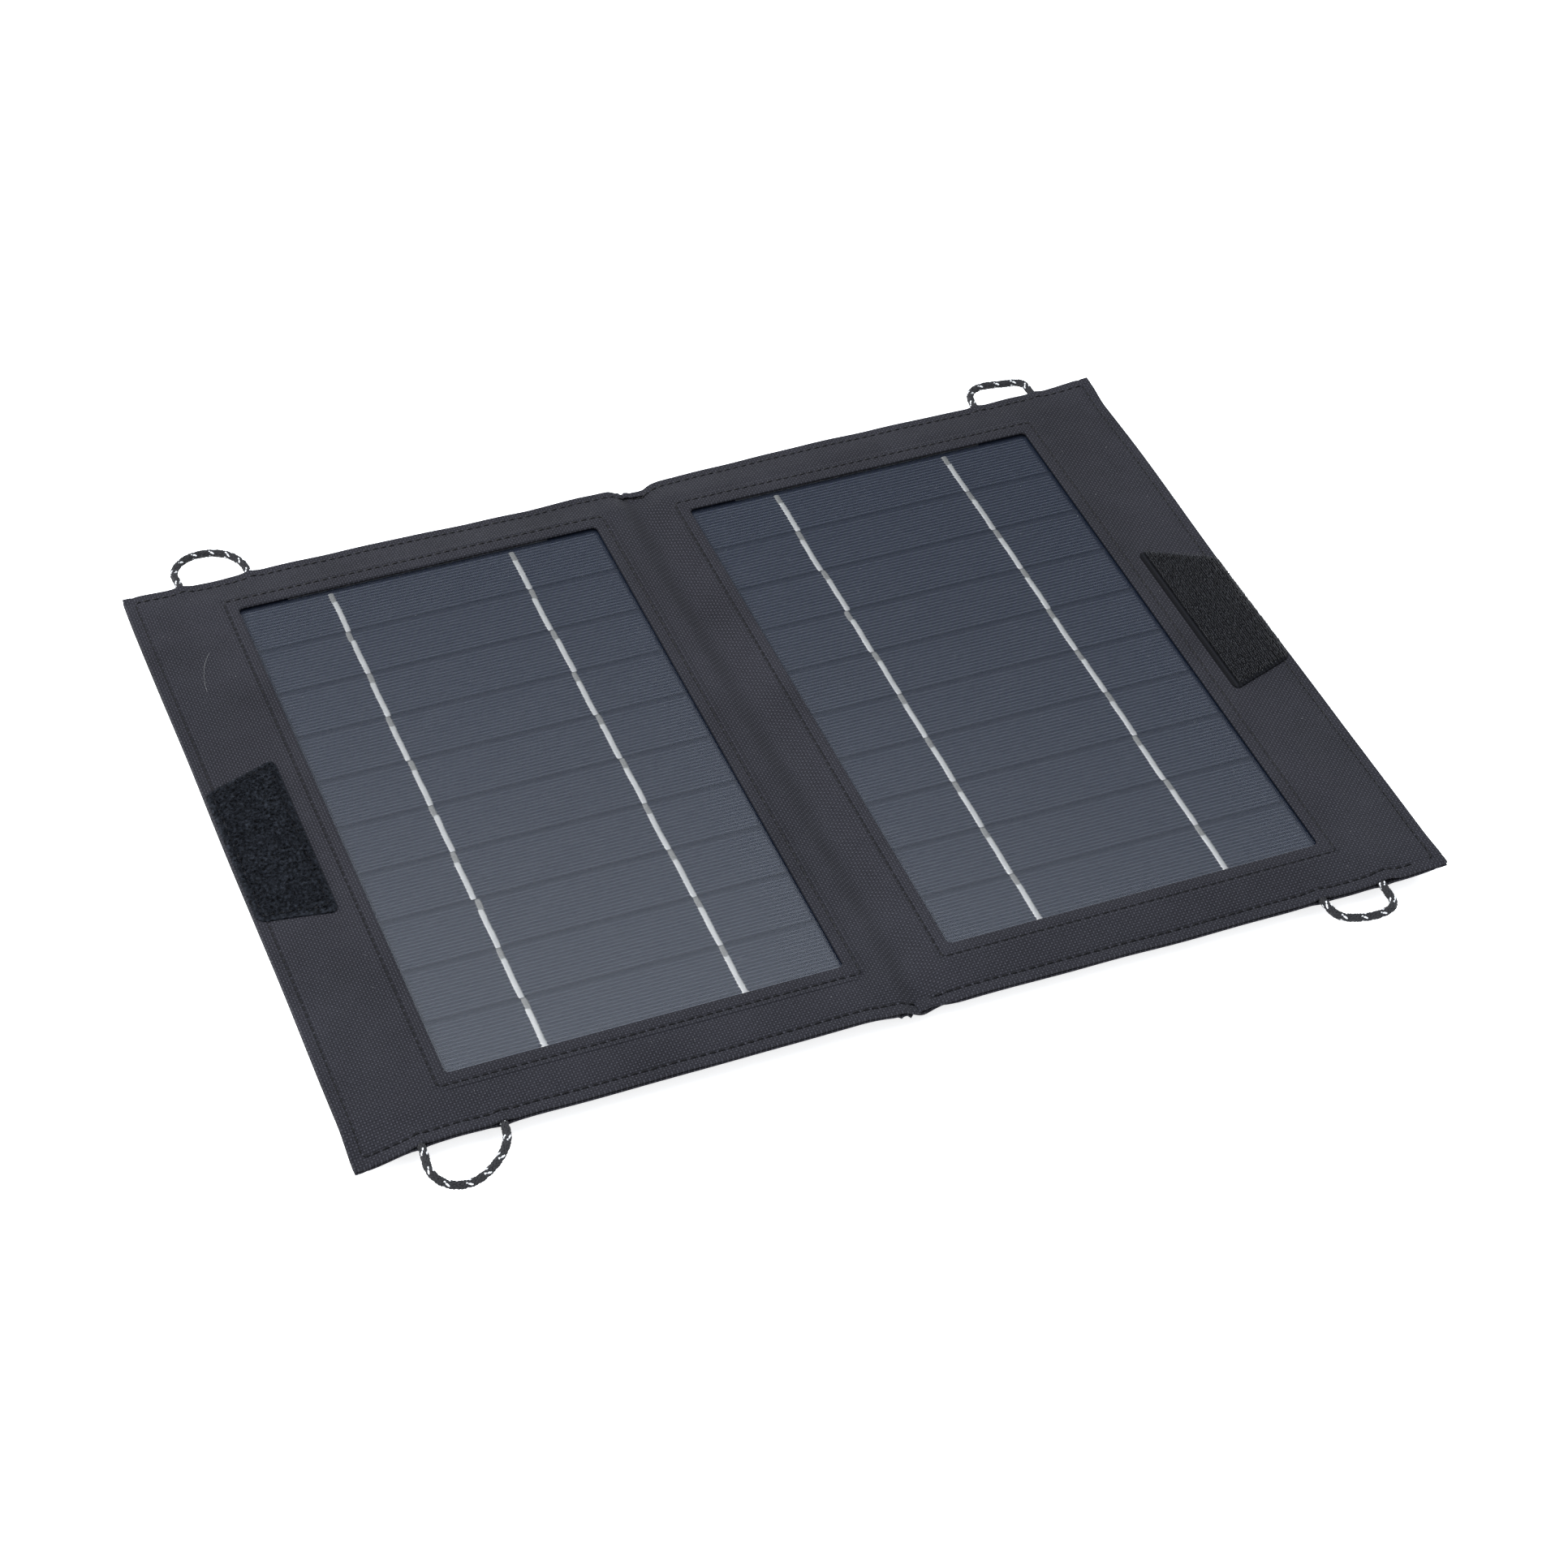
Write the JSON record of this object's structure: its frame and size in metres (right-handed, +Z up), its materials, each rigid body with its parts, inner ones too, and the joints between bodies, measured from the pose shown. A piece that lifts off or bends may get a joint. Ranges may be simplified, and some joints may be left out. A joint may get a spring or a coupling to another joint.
{
  "type": "folding solar panel",
  "caption": "Folding camping solar panel: two cloth-covered laminates of cell strips, book fold, hook and loop closure, cord hanging loops, zipped back pocket with a USB regulator box.",
  "frame": {"origin": "on the ground, below the middle of the fold line, with the panel lying open and flat, cells up", "axes": "+X along the long side from the loop patch's half to the hook patch's half, +Y from the near edge to the far edge, +Z up out of the cells"},
  "size_m": [0.348, 0.2996, 0.0123],
  "materials": {
    "cover_cloth": "matte",
    "pocket_mesh": "matte",
    "front_film": "gloss",
    "encapsulant": "gloss",
    "silicon_cell": "gloss",
    "tinned_ribbon": "satin",
    "glass_fibre_board": "matte",
    "backing_foam": "matte",
    "lead_sheath": "matte",
    "loop_pile": "matte",
    "hook_tape": "matte",
    "accessory_cord": "matte",
    "box_plastic": "matte",
    "screw_steel": "satin",
    "plated_steel": "satin",
    "socket_plastic": "matte",
    "ferrite": "matte",
    "capacitor_can": "satin",
    "chip_epoxy": "matte",
    "lens_plastic": "gloss",
    "zip_tape": "matte",
    "zip_coil": "satin",
    "zip_metal": "satin"
  },
  "bodies": {
    "right_panel": {"box_base": "box_plastic", "box_lid": "box_plastic", "box_screws": "screw_steel", "capacitor": "capacitor_can", "circuit_board": "glass_fibre_board", "hook_patch": "hook_tape", "inductor": "ferrite", "pocket_panel": "pocket_mesh", "regulator_chip": "chip_epoxy", "right_back_cover": "cover_cloth", "right_backing_board": "backing_foam", "right_backsheet": "glass_fibre_board", "right_cells": "silicon_cell", "right_encapsulant": "encapsulant", "right_end_busbars": "tinned_ribbon", "right_far_cord_loop": "accessory_cord", "right_front_cover": "cover_cloth", "right_front_film": "front_film", "right_lead": "lead_sheath", "right_near_cord_loop": "accessory_cord", "right_ribbons": "tinned_ribbon", "status_lens": "lens_plastic", "usb_shell": "plated_steel", "usb_tongue": "socket_plastic", "zip_coils": "zip_coil", "zip_stops": "plated_steel", "zip_tapes": "zip_tape"},
    "left_panel": {"left_back_cover": "cover_cloth", "left_backing_board": "backing_foam", "left_backsheet": "glass_fibre_board", "left_cells": "silicon_cell", "left_encapsulant": "encapsulant", "left_end_busbars": "tinned_ribbon", "left_far_cord_loop": "accessory_cord", "left_front_cover": "cover_cloth", "left_front_film": "front_film", "left_lead": "lead_sheath", "left_near_cord_loop": "accessory_cord", "left_ribbons": "tinned_ribbon", "loop_patch": "loop_pile"},
    "zipper_slider": {"zip_slider": "zip_metal"},
    "zipper_pull": {"zip_pull": "zip_metal"}
  },
  "joints": [
    {"name": "panel_fold", "type": "hinge", "parent": "right_panel", "child": "left_panel", "pos_m": [0, 0, 0.0128], "axis": [0, 1, 0], "range_deg": [0, 180]},
    {"name": "slider_slide", "type": "slide", "parent": "right_panel", "child": "zipper_slider", "axis": [-1, 0, 0], "range_m": [0, 0.088]},
    {"name": "pull_swing", "type": "hinge", "parent": "zipper_slider", "child": "zipper_pull", "pos_m": [0.126, 0.045, 0.00145], "axis": [0, -1, 0], "range_deg": [0, 180]}
  ]
}
